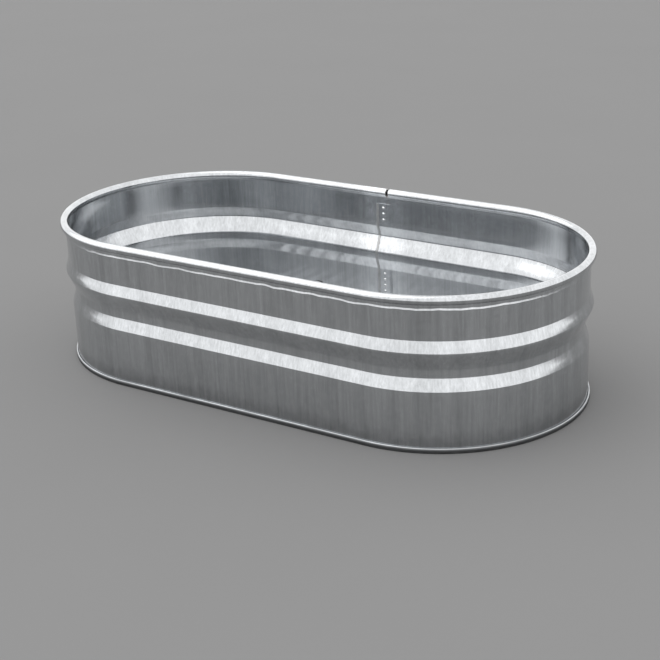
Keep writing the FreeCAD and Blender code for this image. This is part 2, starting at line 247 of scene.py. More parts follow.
def build_sweep_tree():
    """Tree that carries the section it is given round the tank's outline."""
    tree, given, result = new_tree("Sheet carried round the tank", [
        ("Section", "NodeSocketGeometry", None),
        ("Wall radius", "NodeSocketFloat", WALL_RADIUS),
        ("Straight half length", "NodeSocketFloat", STRAIGHT),
        ("Start", "NodeSocketFloat", 0.0),
        ("End", "NodeSocketFloat", AROUND),
        ("Steps", "NodeSocketInt", 304),
        ("Moved in", "NodeSocketFloat", 0.0),
        ("Wave depth", "NodeSocketFloat", 0.0),
        ("Hem wander", "NodeSocketFloat", 0.0),
        ("Lump", "NodeSocketFloat", 0.0),
        ("Lump corner", "NodeSocketVector", None),
        ("Seed", "NodeSocketFloat", 0.0),
        ("Material", "NodeSocketMaterial", None),
    ], [("Geometry", "NodeSocketGeometry")])
    section = given["Section"]
    size = add_node(tree, "GeometryNodeAttributeDomainSize", {0: section}, component="MESH")
    count = size.outputs["Point Count"]
    sheet = add_node(tree, "GeometryNodeMeshGrid", {"Size X": 1.0, "Size Y": 1.0,
                                                    "Vertices X": given["Steps"], "Vertices Y": count})
    spot = parts_of(tree, point_place(tree))
    share = calc(tree, "ADD", spot["X"], 0.5)
    length = calc(tree, "SUBTRACT", given["End"], given["Start"])
    distance = calc(tree, "MULTIPLY_ADD", share, length, given["Start"])
    last_row = calc(tree, "SUBTRACT", count, 1.0)
    row = calc(tree, "ROUND", product(tree, calc(tree, "ADD", spot["Y"], 0.5), last_row))
    place = add_node(tree, "GeometryNodeSampleIndex", {"Geometry": section, "Index": row,
                                                       "Value": point_place(tree)}, data_type="FLOAT_VECTOR")
    place_socket = [s for s in place.outputs if s.enabled][0]
    # lumps: the section grows and shrinks about one of its corners
    seeded = calc(tree, "ADD", distance, given["Seed"])
    patch = off_middle(tree, fuzz_along(tree, seeded, 70.0, 3.0))
    growth = calc(tree, "MULTIPLY_ADD", patch, given["Lump"], 1.0)
    from_corner = vector_calc(tree, "SUBTRACT", {0: place_socket, 1: given["Lump corner"]})
    grown = vector_calc(tree, "SCALE", {0: from_corner, "Scale": growth})
    grown = vector_calc(tree, "ADD", {0: grown, 1: given["Lump corner"]})
    across, up, _ = parts_of(tree, grown)
    # the sheet springs in and out a little, and not at all by the seam
    cell = vector_of(tree, calc(tree, "MULTIPLY", distance, 5.0), calc(tree, "MULTIPLY", up, 9.0),
                     given["Seed"])
    spring = off_middle(tree, fuzz(tree, cell, 1.0, 1.0))
    from_end = calc(tree, "ABSOLUTE", calc(tree, "SUBTRACT", AROUND, distance))
    far_off = calc(tree, "MINIMUM", calc(tree, "ABSOLUTE", distance), from_end)
    clear = eased(tree, far_off, 0.04, 0.15)
    above_foot = eased(tree, up, 0.016, 0.05)
    below_rim = eased(tree, up, 0.297, 0.27)
    swing = product(tree, spring, given["Wave depth"], clear, above_foot, below_rim)
    # the hem under the rim was rolled by hand, so its lip wanders
    wander = off_middle(tree, fuzz_along(tree, seeded, 24.0, 1.5))
    off_wall = ramped(tree, across, 0.0006, 0.0010)
    from_lip = calc(tree, "ABSOLUTE", calc(tree, "SUBTRACT", up, LIP_HEIGHT))
    by_lip = eased(tree, from_lip, 0.0095, 0.0035)
    shift = product(tree, wander, given["Hem wander"], by_lip, off_wall, clear)
    up = calc(tree, "ADD", up, shift)
    across = calc(tree, "MULTIPLY_ADD", shift, -0.4, across)
    joggled = eased(tree, distance, -0.0085, -0.0008)
    moved_in = product(tree, given["Moved in"], joggled)
    across = calc(tree, "SUBTRACT", calc(tree, "ADD", across, swing), moved_in)
    x, y, out_x, out_y = outline_place(tree, distance, given["Wall radius"], given["Straight half length"])
    goal = vector_of(tree, calc(tree, "MULTIPLY_ADD", out_x, across, x),
                     calc(tree, "MULTIPLY_ADD", out_y, across, y), up)
    bent = add_node(tree, "GeometryNodeSetPosition", {"Geometry": sheet.outputs["Mesh"], "Position": goal})
    joined = add_node(tree, "GeometryNodeMergeByDistance", {"Geometry": bent.outputs[0], "Distance": 0.00002})
    return end_tree(tree, result, joined.outputs[0], given["Material"])


sweep_tree = build_sweep_tree()


def grown_mesh(name, source, tree, **amounts):
    """The source run through a tree, as a plain mesh; amounts are the tree's inputs by name."""
    modifier = source.modifiers.new("tree", "NODES")
    modifier.node_group = tree
    for item in tree.interface.items_tree:
        key = item.name.lower().replace(" ", "_")
        if item.item_type == "SOCKET" and item.in_out == "INPUT" and key in amounts:
            modifier[item.identifier] = amounts[key]
    source.update_tag()
    mesh = bpy.data.meshes.new_from_object(source.evaluated_get(bpy.context.evaluated_depsgraph_get()))
    mesh.name = name
    source.modifiers.remove(modifier)
    return mesh


def put_in_scene(name, mesh):
    """An object of the scene made from a mesh."""
    made = bpy.data.objects.new(name, mesh)
    bpy.context.scene.collection.objects.link(made)
    return made


def thickened(piece, thickness, offset=0.0):
    """Gives a sheet its gauge."""
    solid = piece.modifiers.new("gauge", "SOLIDIFY")
    solid.thickness = thickness
    solid.offset = offset
    solid.use_even_offset = True
    apply_all(piece)


def apply_all(piece):
    """Makes a piece's modifiers part of its mesh."""
    old = piece.data
    piece.data = bpy.data.meshes.new_from_object(piece.evaluated_get(bpy.context.evaluated_depsgraph_get()))
    piece.modifiers.clear()
    piece.data.name = piece.name
    bpy.data.meshes.remove(old)


def smoothed(mesh, crease=35):
    """Shades a mesh smooth but for edges sharper than the crease, in degrees."""
    mesh.shade_smooth()
    mesh.set_sharp_from_angle(angle=math.radians(crease))


# Hot-dip zinc, shared by the wall and the floor: flat crystals a few millimetres across,
# faint drain lines that run down the sheet, and a dull bloom where it has weathered.
def build_zinc_group():
    tree, given, result = new_tree("Zinc coat", [
        ("Place", "NodeSocketVector", None),
        ("Crystal size", "NodeSocketFloat", 0.009),
        ("Crystal contrast", "NodeSocketFloat", 0.06),
        ("Line contrast", "NodeSocketFloat", 0.55),
        ("Bloom", "NodeSocketFloat", 0.25),
        ("Gloss", "NodeSocketFloat", 0.15),
    ], [("Tone", "NodeSocketFloat"), ("Roughness", "NodeSocketFloat"), ("Height", "NodeSocketFloat")],
        "ShaderNodeTree")
    place = given["Place"]
    bend = add_node(tree, "ShaderNodeTexNoise", {"Vector": place, "Scale": 140.0, "Detail": 2.0})
    warped = vector_calc(tree, "MULTIPLY_ADD", {0: bend.outputs["Color"], 1: (0.004, 0.004, 0.004), 2: place})
    size = calc(tree, "DIVIDE", 1.0, given["Crystal size"])
    crystal = add_node(tree, "ShaderNodeTexVoronoi", {"Vector": warped, "Scale": size}).outputs["Color"]
    tint = add_node(tree, "ShaderNodeSeparateColor", {0: crystal}).outputs[0]
    off_tint = off_middle(tree, tint)
    stretched = vector_calc(tree, "MULTIPLY", {0: place, 1: (1.0, 1.0, 0.045)})
    lines = fuzz(tree, stretched, 210.0, 4.0, 0.62)
    off_line = off_middle(tree, lines)
    bands = off_middle(tree, fuzz(tree, stretched, 34.0, 2.0))
    cloud = fuzz(tree, place, 9.0, 5.0, 0.6)
    tone = calc(tree, "MULTIPLY_ADD", off_tint, given["Crystal contrast"], 1.0)
    drawn = calc(tree, "ADD", off_line, calc(tree, "MULTIPLY", bands, 0.7))
    tone = calc(tree, "MULTIPLY_ADD", drawn, given["Line contrast"], tone)
    dulled = product(tree, eased(tree, cloud, 0.42, 0.72), given["Bloom"])
    tone = product(tree, tone, calc(tree, "MULTIPLY_ADD", dulled, -0.16, 1.0))
    rough = calc(tree, "MULTIPLY_ADD", dulled, 0.14, given["Gloss"])
    rough = calc(tree, "MULTIPLY_ADD", off_tint, 0.03, rough)
    rough = calc(tree, "MULTIPLY_ADD", off_line, 0.06, rough)
    height = calc(tree, "MULTIPLY_ADD", lines, 0.6, calc(tree, "MULTIPLY", tint, 0.25))
    set_inputs(tree, result, {"Tone": tone, "Roughness": rough, "Height": height})
    return tree


zinc_group = build_zinc_group()


def new_material(name):
    """A material with a Principled shader; returns it, its tree, the shader and Object coordinates."""
    material = bpy.data.materials.new(name)
    material.use_nodes = True
    tree = material.node_tree
    shader = tree.nodes["Principled BSDF"]
    place = add_node(tree, "ShaderNodeTexCoord").outputs["Object"]
    return material, tree, shader, place


def tinted(tree, colour, tone):
    """The colour made lighter or darker by a tone near 1."""
    return vector_calc(tree, "SCALE", {0: colour[:3], "Scale": tone})


def blended(tree, share, first, second):
    """The first colour, going over to the second as the share goes from 0 to 1."""
    return add_node(tree, "ShaderNodeMix", {"Factor": share, 6: first, 7: second},
                    data_type="RGBA").outputs[2]


def relief(tree, height, strength, depth):
    """The normals of a surface with small relief, from a height."""
    return add_node(tree, "ShaderNodeBump", {"Height": height, "Strength": strength,
                                             "Distance": depth}).outputs[0]


# The line of the rivets through the lap.
RIVET_X = -0.012


def build_wall_zinc():
    material, tree, shader, place = new_material("galvanised_wall")
    coat = add_node(tree, "ShaderNodeGroup", {"Place": place}, node_tree=zinc_group)
    x, y, z = parts_of(tree, place)
    # splashed dust at the foot
    foot = calc(tree, "MULTIPLY_ADD", fuzz(tree, place, 60.0, 4.0), -0.03, z)
    dust = eased(tree, foot, 0.035, 0.0)
    # brushed flux and a paler, duller coat either side of the lap seam
    from_seam = calc(tree, "ABSOLUTE", calc(tree, "SUBTRACT", x, RIVET_X))
    on_far_side = calc(tree, "GREATER_THAN", y, 0.2)
    brushed = fuzz(tree, place, 38.0, 3.0, 0.55)
    flux = product(tree, eased(tree, from_seam, 0.085, 0.03), on_far_side, brushed)
    tone = product(tree, coat.outputs["Tone"], calc(tree, "MULTIPLY_ADD", flux, 0.55, 1.0),
                   calc(tree, "MULTIPLY_ADD", dust, -0.25, 1.0))
    rough = calc(tree, "MULTIPLY_ADD", flux, 0.11, coat.outputs["Roughness"])
    rough = calc(tree, "MULTIPLY_ADD", dust, 0.06, rough)
    set_inputs(tree, shader, {
        "Base Color": tinted(tree, ZINC, tone),
        "Roughness": calc(tree, "MINIMUM", rough, 0.26),
        "Metallic": 1.0,
        "Normal": relief(tree, coat.outputs["Height"], 0.2, 0.0002),
    })
    return material


wall_zinc = build_wall_zinc()

# The wall's two rolled beads, inward and then outward, as corners with fillets.
BEADS = [(0, 124, 3), (-8, 149, 6), (-8, 166, 12), (8, 202, 6), (0, 226, 3)]

# Half the gap between the sheet's two ends where they meet.
HALF_JOINT = 0.00075

wall_path = filleted([(2.8, 7.4), (2.8, 1.5, 1.4), (0, 1.5, 1.4)] + BEADS + [
    (0, 296.5, 2), (-6, 302.5, 5), (-6, 314.5, 8.5), (11, 314.5, 8.5), (11, 297.5, 8.5),
    (1.1, 297.5, 1), (1.1, 290, 3), (1.9, LIP_HEIGHT * 1000),
])
wall_section = section_object("wall_section", divided(wall_path, 16))
wall_mesh = grown_mesh("side_wall_shaped", wall_section, sweep_tree, start=HALF_JOINT,
                       end=AROUND - HALF_JOINT, wave_depth=0.0022, hem_wander=0.0045, seed=3.7,
                       material=wall_zinc)
wall = put_in_scene("side_wall_shaped", wall_mesh)
thickened(wall, GAUGE)
bpy.data.objects.remove(wall_section)


# The lap: the sheet's other end, carried on past the joint behind it and joggled inward.
LAP_REACH = 0.026
lap_path = filleted([(0, 18)] + BEADS + [(0, 280)])
lap_section = section_object("lap_section", divided(lap_path, 16))
lap_mesh = grown_mesh("lap", lap_section, sweep_tree, start=-0.0085, end=LAP_REACH, steps=28,
                      moved_in=0.0011, material=wall_zinc)
lap = put_in_scene("lap", lap_mesh)
thickened(lap, GAUGE)
bpy.data.objects.remove(lap_section)

# Drain hole and the notch in the rim over the lap, cut by a drill and a saw.
DRAIN_X = -0.2
DRAIN_Z = 0.042
DRAIN_HOLE_RADIUS = 0.017


def cutter(name, corners, faces):
    """A closed solid to cut with."""
    mesh = bpy.data.meshes.new(name)
    mesh.from_pydata(corners, [], faces)
    return put_in_scene(name, mesh)


def drum(radius, start, end, x, z, sides=64):
    """Closed cylinder along Y as corners and faces."""
    corners = []
    for y in (start, end):
        for side in range(sides):
            angle = 2 * math.pi * side / sides
            corners.append((x + radius * math.sin(angle), y, z + radius * math.cos(angle)))
    faces = [tuple(range(sides)), tuple(reversed(range(sides, 2 * sides)))]
    for side in range(sides):
        nxt = (side + 1) % sides
        faces.append((nxt, side, side + sides, nxt + sides))
    return corners, faces


drill = cutter("drill", *drum(DRAIN_HOLE_RADIUS, 0.287, 0.307, DRAIN_X, DRAIN_Z))
notch_low, notch_high = (-0.004, 0.287, 0.296), (0.004, 0.319, 0.323)
x_sides, y_sides, z_sides = zip(notch_low, notch_high)
box_corners = [(x, y, z) for x in x_sides for y in y_sides for z in z_sides]
box_faces = [(0, 1, 3, 2), (4, 6, 7, 5), (0, 4, 5, 1), (2, 3, 7, 6), (0, 2, 6, 4), (1, 5, 7, 3)]
saw = cutter("saw", box_corners, box_faces)
for tool in (drill, saw):
    removed = wall.modifiers.new("cut", "BOOLEAN")
    removed.object = tool
    removed.operation = "DIFFERENCE"
    removed.solver = "EXACT"
apply_all(wall)
for tool in (drill, saw):
    bpy.data.objects.remove(tool)
smoothed(wall.data)
smoothed(lap.data)
for piece in (wall, lap):
    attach(piece, "tank")
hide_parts("side_wall")


# ---- rim tube ----------------------------------------------------------------------------
# Mild steel tube inside the rolled rim, seen only in the notch over the lap: mill scale
# with a trace of rust at the cut ends.

def build_tube_steel():
    material, tree, shader, place = new_material("tube_steel")
    patch = fuzz(tree, place, 220.0, 5.0)
    rust = ramped(tree, patch, 0.52, 0.66)
    set_inputs(tree, shader, {
        "Base Color": blended(tree, rust, (0.34, 0.34, 0.34, 1), (0.16, 0.075, 0.035, 1)),
        "Roughness": calc(tree, "MULTIPLY_ADD", rust, 0.4, 0.42),
        "Metallic": calc(tree, "MULTIPLY_ADD", rust, -0.8, 1.0),
        "Normal": relief(tree, patch, 0.4, 0.0003),
    })
    return material


rim_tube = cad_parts["rim_tube"]
rim_tube.data.materials.clear()
rim_tube.data.materials.append(build_tube_steel())


# ---- floor pan ---------------------------------------------------------------------------
# Separate galvanised sheet with ribs pressed up across the tank, so it does not drum or
# sag. Its edge goes down inside the wall and is folded with it into the base seam.

def build_floor_tree():
    """Tree of the ribbed plate, drawn as rows across columns that follow the round ends."""
    tree, given, result = new_tree("Ribbed plate", [
        ("Geometry", "NodeSocketGeometry", None),
        ("Plate radius", "NodeSocketFloat", 0.2938),
        ("Straight half length", "NodeSocketFloat", STRAIGHT),
        ("Height", "NodeSocketFloat", 0.0095),
        ("Rib pitch", "NodeSocketFloat", 0.044),
        ("Rib rise", "NodeSocketFloat", 0.005),
        ("Rib bend radius", "NodeSocketFloat", 0.0169),
        ("Rib reach", "NodeSocketFloat", 0.262),
        ("Last rib", "NodeSocketFloat", 12.0),
        ("Rib end radius", "NodeSocketFloat", 0.012),
        ("Dish depth", "NodeSocketFloat", 0.0),
        ("Columns", "NodeSocketInt", 413),
        ("Rows", "NodeSocketInt", 83),
        ("Material", "NodeSocketMaterial", None),
    ], [("Geometry", "NodeSocketGeometry")])
    radius, straight = given["Plate radius"], given["Straight half length"]
    sheet = add_node(tree, "GeometryNodeMeshGrid", {"Size X": 2.0, "Size Y": 2.0,
                                                    "Vertices X": given["Columns"],
                                                    "Vertices Y": given["Rows"]})
    spot = parts_of(tree, point_place(tree))
    quarter = calc(tree, "MULTIPLY", radius, math.pi / 2)
    distance = product(tree, calc(tree, "ABSOLUTE", spot["X"]), calc(tree, "ADD", straight, quarter))
    on_end = calc(tree, "MAXIMUM", calc(tree, "SUBTRACT", distance, straight), 0.0)
    turn = calc(tree, "DIVIDE", on_end, radius)
    x = calc(tree, "MULTIPLY_ADD", calc(tree, "SINE", turn), radius,
             calc(tree, "MINIMUM", distance, straight))
    x = product(tree, x, calc(tree, "SIGN", spot["X"]))
    half_width = product(tree, calc(tree, "COSINE", turn), radius)
    y = product(tree, spot["Y"], half_width)
    off_middle_line = calc(tree, "ABSOLUTE", y)
    # ribs: the nearest one, how far off it the point is, and how far past its end
    pitch, last_rib = given["Rib pitch"], given["Last rib"]
    number = calc(tree, "ROUND", calc(tree, "DIVIDE", x, pitch))
    number = held(tree, number, calc(tree, "MULTIPLY", last_rib, -1.0), last_rib)
    rib_x = product(tree, number, pitch)
    off_rib = calc(tree, "SUBTRACT", x, rib_x)
    past = calc(tree, "SUBTRACT", calc(tree, "ABSOLUTE", rib_x), straight)
    past = calc(tree, "MAXIMUM", past, 0.0)
    reach = given["Rib reach"]
    half_rib = calc(tree, "SUBTRACT", product(tree, reach, reach), product(tree, past, past))
    half_rib = calc(tree, "SUBTRACT", calc(tree, "SQRT", half_rib), given["Rib end radius"])
    over_end = calc(tree, "MAXIMUM", calc(tree, "SUBTRACT", off_middle_line, half_rib), 0.0)
    off_squared = calc(tree, "ADD", product(tree, off_rib, off_rib), product(tree, over_end, over_end))
    bend = given["Rib bend radius"]
    crown = calc(tree, "SUBTRACT", product(tree, bend, bend), off_squared)
    crown = calc(tree, "SQRT", calc(tree, "MAXIMUM", crown, 0.0))
    rise = calc(tree, "SUBTRACT", crown, calc(tree, "SUBTRACT", bend, given["Rib rise"]))
    rise = calc(tree, "SMOOTH_MAX", rise, 0.0, 0.0022)
    # the sheet is dished a little, and not at all by its edge
    dish = off_middle(tree, fuzz(tree, vector_of(tree, x, y), 6.0, 1.0))
    inboard = eased(tree, calc(tree, "SUBTRACT", half_width, off_middle_line), 0.004, 0.08)
    dish = product(tree, dish, given["Dish depth"], inboard)
    z = calc(tree, "ADD", calc(tree, "ADD", rise, given["Height"]), dish)
    plate = add_node(tree, "GeometryNodeSetPosition", {"Geometry": sheet.outputs["Mesh"],
                                                       "Position": vector_of(tree, x, y, z)})
    tip = add_node(tree, "GeometryNodeMergeByDistance", {"Geometry": plate.outputs[0], "Distance": 0.00002})
    return end_tree(tree, result, tip.outputs[0], given["Material"])


def build_floor_zinc(name, painted_foot_shade_depth):
    """Zinc for the plate, and for its folded edge, whose face is darkened towards the ground with painted
    contact shade, and made rougher there.
    """
    material, tree, shader, place = new_material(name)
    coat = add_node(tree, "ShaderNodeGroup", {"Place": place, "Line contrast": 0.0, "Bloom": 0.5,
                                              "Gloss": 0.30}, node_tree=zinc_group)
    height = parts_of(tree, place)["Z"]
    # water marks lie in the valleys between the ribs
    patch = fuzz(tree, place, 26.0, 5.0)
    silt = product(tree, ramped(tree, height, 0.0135, 0.0100), ramped(tree, patch, 0.40, 0.68))
    # painted contact shade: the folded edge's face goes darker, and rougher, towards the ground
    ragged = calc(tree, "MULTIPLY_ADD", patch, 0.004, height)
    painted_foot_shade = ramped(tree, ragged, 0.0120, 0.0075, painted_foot_shade_depth)
    tone = product(tree, coat.outputs["Tone"], calc(tree, "MULTIPLY_ADD", silt, -0.22, 0.84),
                   calc(tree, "SUBTRACT", 1.0, painted_foot_shade))
    rough = calc(tree, "MULTIPLY_ADD", silt, 0.20, coat.outputs["Roughness"])
    rough = calc(tree, "MULTIPLY_ADD", painted_foot_shade, 0.4, rough)
    set_inputs(tree, shader, {
        "Base Color": tinted(tree, ZINC, tone),
        "Roughness": calc(tree, "MAXIMUM", rough, 0.285),
        "Metallic": 1.0,
        "Normal": relief(tree, coat.outputs["Height"], 0.3, 0.0002),
    })
    return material


floor_zinc = build_floor_zinc("galvanised_floor", 0.0)
plate_source = section_object("plate_source", [Vector((0, 0)), Vector((1, 0))])
plate = put_in_scene("floor_plate", grown_mesh("floor_plate", plate_source, build_floor_tree(),
                                               dish_depth=0.0012, material=floor_zinc))
thickened(plate, GAUGE)
bpy.data.objects.remove(plate_source)
edge_path = filleted([
    (-3.5, 9.5), (-1, 9.5, 2), (-1, 0.5, 1), (4.2, 0.5, 1.4), (4.2, 10.4, 1.4), (1.4, 10.4, 1.4), (1.4, 4.4),
])
edge_section = section_object("edge_section", edge_path)
# the seam band's face takes painted contact shade near the ground
seam_zinc = build_floor_zinc("galvanised_seam", 0.8)
edge = put_in_scene("floor_seam_band", grown_mesh("floor_seam_band", edge_section, sweep_tree,
                                                  material=seam_zinc))
thickened(edge, GAUGE)
bpy.data.objects.remove(edge_section)
for piece in (plate, edge):
    smoothed(piece.data)
    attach(piece, "tank")
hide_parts("floor_pan")


# ---- seam rivets -------------------------------------------------------------------------
# Ten zinc-plated tinner's rivets through the lap, domed on both faces of the sheet.

def lathe(name, profile, x=0.0, z=0.0, sides=64, radius_at=None):
    """Turned shape about a line along Y: profile is (radius, y) points in metres, from one end
    to the other. radius_at may change a radius by angle, for flats and threads."""
    corners, faces = [], []
    for radius, y in profile:
        for side in range(sides):
            angle = 2 * math.pi * side / sides
            reach, along = (radius, y) if radius_at is None else radius_at(radius, y, angle)
            corners.append((x + reach * math.sin(angle), along, z + reach * math.cos(angle)))
    for row in range(len(profile) - 1):
        for side in range(sides):
            nxt = (side + 1) % sides
            a, b = row * sides + side, row * sides + nxt
            faces.append((a, a + sides, b + sides, b))
    mesh = bpy.data.meshes.new(name)
    mesh.from_pydata(corners, [], faces)
    made = put_in_scene(name, mesh)
    weld = made.modifiers.new("weld", "WELD")
    weld.merge_threshold = 0.000002
    apply_all(made)
    flip_if_inside_out(made.data)
    return made


def flip_if_inside_out(mesh):
    """Turns every face over when the mesh's volume comes out negative."""
    mesh.calc_loop_triangles()
    volume = 0
    for triangle in mesh.loop_triangles:
        a, b, c = (mesh.vertices[i].co for i in triangle.vertices)
        volume += a.dot(b.cross(c))
    if volume < 0:
        mesh.flip_normals()


def build_plated_steel():
    material, tree, shader, place = new_material("plated_steel")
    grain = fuzz(tree, place, 900.0, 4.0)
    tone = calc(tree, "MULTIPLY_ADD", off_middle(tree, grain), 0.25, 1.0)
    set_inputs(tree, shader, {
        "Base Color": tinted(tree, (0.74, 0.75, 0.76), tone),
        "Roughness": calc(tree, "MULTIPLY_ADD", grain, 0.1, 0.15),
        "Metallic": 1.0,
        "Normal": relief(tree, grain, 0.3, 0.0001),
    })
    return material


def build_rivet_tree():
    """Tree that sets the rivet it is given at even spacing up a line, each turned its own way."""
    tree, given, result = new_tree("Rivets up the lap", [
        ("Rivet", "NodeSocketGeometry", None),
        ("Lower count", "NodeSocketInt", 7),
        ("Upper count", "NodeSocketInt", 3),
        ("Pitch", "NodeSocketFloat", 0.014),
        ("Lowest", "NodeSocketVector", (RIVET_X, 0.2965, 0.028)),
        ("Lowest upper", "NodeSocketVector", (RIVET_X, 0.2965, 0.242)),
        ("Material", "NodeSocketMaterial", None),
    ], [("Geometry", "NodeSocketGeometry")])
    step = vector_of(tree, 0.0, 0.0, given["Pitch"])
    rows = []
    for count, start in (("Lower count", "Lowest"), ("Upper count", "Lowest upper")):
        rows.append(add_node(tree, "GeometryNodeMeshLine", {
            "Count": given[count], "Start Location": given[start], "Offset": step,
        }))
    both = add_node(tree, "GeometryNodeJoinGeometry")
    for row in rows:
        tree.links.new(row.outputs[0], both.inputs[0])
    spin = add_node(tree, "FunctionNodeRandomValue", {"Min": (0, 0, 0), "Max": (0, 6.28, 0), "Seed": 5},
                    data_type="FLOAT_VECTOR").outputs[0]
    turned = add_node(tree, "FunctionNodeEulerToRotation", {0: spin}).outputs[0]
    placed = add_node(tree, "GeometryNodeInstanceOnPoints", {
        "Points": both.outputs[0], "Instance": given["Rivet"], "Rotation": turned,
    })
    return end_tree(tree, result, placed.outputs[0], given["Material"])


def dome(start, radius, height, sense, steps=7):
    """Profile of a domed head, from its rim to its crown."""
    ball = (radius ** 2 + height ** 2) / (2 * height)
    points = []
    for step in range(steps + 1):
        angle = math.asin(radius / ball) * (1 - step / steps)
        points.append((ball * math.sin(angle), start + sense * (ball * math.cos(angle) - ball + height)))
    return points


plated_steel = build_plated_steel()
INNER_FACE, OUTER_FACE = -0.0011, 0.001
HEAD_RADIUS, HEAD_HEIGHT, SHANK_RADIUS = 0.0035, 0.0016, 0.0016
inner_head = dome(INNER_FACE, HEAD_RADIUS, HEAD_HEIGHT, -1)
outer_head = dome(OUTER_FACE, HEAD_RADIUS, HEAD_HEIGHT, 1)
shank = [(SHANK_RADIUS, INNER_FACE), (SHANK_RADIUS, OUTER_FACE)]
rivet = lathe("rivet", inner_head[::-1] + shank + outer_head, sides=28)
rivet_mesh = grown_mesh("rivet_row", rivet, build_rivet_tree(), material=plated_steel)
rivets = put_in_scene("rivet_row", rivet_mesh)
bpy.data.objects.remove(rivet)
smoothed(rivets.data, 50)
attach(rivets, "tank")
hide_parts("seam_rivets")


# ---- sealing compound --------------------------------------------------------------------
# Zinc-filled grey compound brushed along the lap's free edge and run into the corner of
# floor and wall; it is lumpy, with a dull metal skin close to the sheet in colour.

def build_compound():
    material, tree, shader, place = new_material("grey_compound")
    blotch = fuzz(tree, place, 180.0, 5.0)
    tone = calc(tree, "MULTIPLY_ADD", off_middle(tree, blotch), 0.5, 1.0)
    set_inputs(tree, shader, {
        "Base Color": tinted(tree, (0.44, 0.445, 0.45), tone),
        "Roughness": calc(tree, "MULTIPLY_ADD", blotch, 0.2, 0.29),
        "Metallic": 0.8,
        "Normal": relief(tree, blotch, 0.4, 0.0004),
    })
    return material


compound = build_compound()
cove = [Vector((-0.55, 10.05)), Vector((-8.2, 10.05)), Vector((-6.2, 10.7)), Vector((-4.2, 11.8)),
        Vector((-2.5, 13.4)), Vector((-1.3, 15.3)), Vector((-0.55, 17.4)), Vector((-0.55, 10.05))]
cove_section = section_object("cove_section", cove)
bead = put_in_scene("base_bead", grown_mesh("base_bead", cove_section, sweep_tree, steps=900, lump=0.55,
                                            lump_corner=(-0.00055, 0.01005, 0), seed=11.0, material=compound))
bpy.data.objects.remove(cove_section)
flip_if_inside_out(bead.data)
smoothed(bead.data, 60)
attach(bead, "tank")
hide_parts("base_sealant")

# The smear down the lap's edge: rows up the wall, each a low hump of uneven width.
# Here lengths are in millimetres, and "along" is the distance round the wall from its joint.
smear_path = divided(filleted([(0, 19)] + BEADS + [(0, 279)]), 3)
SMEAR_COLUMNS = 9
LAP_EDGE = LAP_REACH * 1000
smear_corners, smear_faces = [], []
for number, point in enumerate(smear_path):
    ahead = smear_path[min(number + 1, len(smear_path) - 1)] - smear_path[max(number - 1, 0)]
    inward = Vector((-ahead.y, ahead.x)).normalized()
    left = 31.5 + 3.0 * noise.noise(Vector((point.y / 9, 4.0, 0)))
    right = 24.0 + 2.0 * noise.noise(Vector((point.y / 7, 9.0, 0)))
    thick = 0.5 + 0.3 * noise.noise(Vector((point.y / 6, 15.0, 0)))
    for column in range(SMEAR_COLUMNS):
        share = column / (SMEAR_COLUMNS - 1)
        along = right + (left - right) * share
        hump = thick * math.sin(math.pi * share) ** 0.6
        off_lap = min(1, max(0, (along - LAP_EDGE + 0.6) / 1.2))
        lying_on = 1.65 - 1.1 * off_lap
        spot = point + inward * (lying_on + hump)
        smear_corners.append((-along / 1000, WALL_RADIUS + spot.x / 1000, spot.y / 1000))
    for column in reversed(range(SMEAR_COLUMNS)):
        share = column / (SMEAR_COLUMNS - 1)
        along = right + (left - right) * share
        spot = point + inward * (0.52 if along > LAP_EDGE + 0.2 else 1.62)
        smear_corners.append((-along / 1000, WALL_RADIUS + spot.x / 1000, spot.y / 1000))
ring_size = 2 * SMEAR_COLUMNS
for row in range(len(smear_path) - 1):
    for column in range(ring_size):
        nxt = (column + 1) % ring_size
        a, b = row * ring_size + column, row * ring_size + nxt
        smear_faces.append((a, b, b + ring_size, a + ring_size))
smear_faces.append(tuple(reversed(range(ring_size))))
top_row = (len(smear_path) - 1) * ring_size
smear_faces.append(tuple(range(top_row, top_row + ring_size)))
smear_mesh = bpy.data.meshes.new("seam_smear")
smear_mesh.from_pydata(smear_corners, [], smear_faces)
smear_mesh.materials.append(compound)
smear = put_in_scene("seam_smear", smear_mesh)
flip_if_inside_out(smear.data)
smoothed(smear.data, 60)
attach(smear, "tank")
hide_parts("seam_sealant")


# ---- drain -------------------------------------------------------------------------------
# Galvanised cast spud through the wall, held by a locknut over a washer, with a rubber
# gasket on each face of the sheet.

# Its pipe thread is drawn in steps of about an eighth of the pitch.
THREAD_PITCH = 0.002309
THREAD_STEP = 0.000289
BORE_RADIUS = 0.0130
SHANK_CREST, SHANK_TIP = 0.0129, 0.2952
NUT_FLATS, NUT_FACE = 0.046, 0.3065
HEAD_FLATS, HEAD_FACE = 0.032, 0.3143


def turned_piece(name, profile, body, node, material, crease=35, sides=72, radius_at=None):
    """A lathe shape on the drain's line, in place of its CAD node."""
    made = lathe(name, profile, DRAIN_X, DRAIN_Z, sides, radius_at)
    made.data.materials.append(material)
    smoothed(made.data, crease)
    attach(made, body)
    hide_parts(node)
    return made


def washer_profile(inner, outer, start, end, edge):
    """Closed profile of a flat ring with eased edges."""
    ease = 0.3 * edge
    return [(inner, start), (outer - edge, start), (outer - ease, start + ease), (outer, start + edge),
            (outer, end - edge), (outer - ease, end - ease), (outer - edge, end), (inner, end),
            (inner, start)]


def build_casting():
    material, tree, shader, place = new_material("galvanised_casting")
    sand = fuzz(tree, place, 520.0, 4.0)
    cloud = fuzz(tree, place, 60.0, 3.0)
    tone = calc(tree, "MULTIPLY_ADD", off_middle(tree, cloud), 0.5, 1.0)
    set_inputs(tree, shader, {
        "Base Color": tinted(tree, (0.46, 0.47, 0.48), tone),
        "Roughness": calc(tree, "MULTIPLY_ADD", cloud, 0.25, 0.30),
        "Metallic": 1.0,
        "Normal": relief(tree, sand, 0.7, 0.0004),
    })
    return material


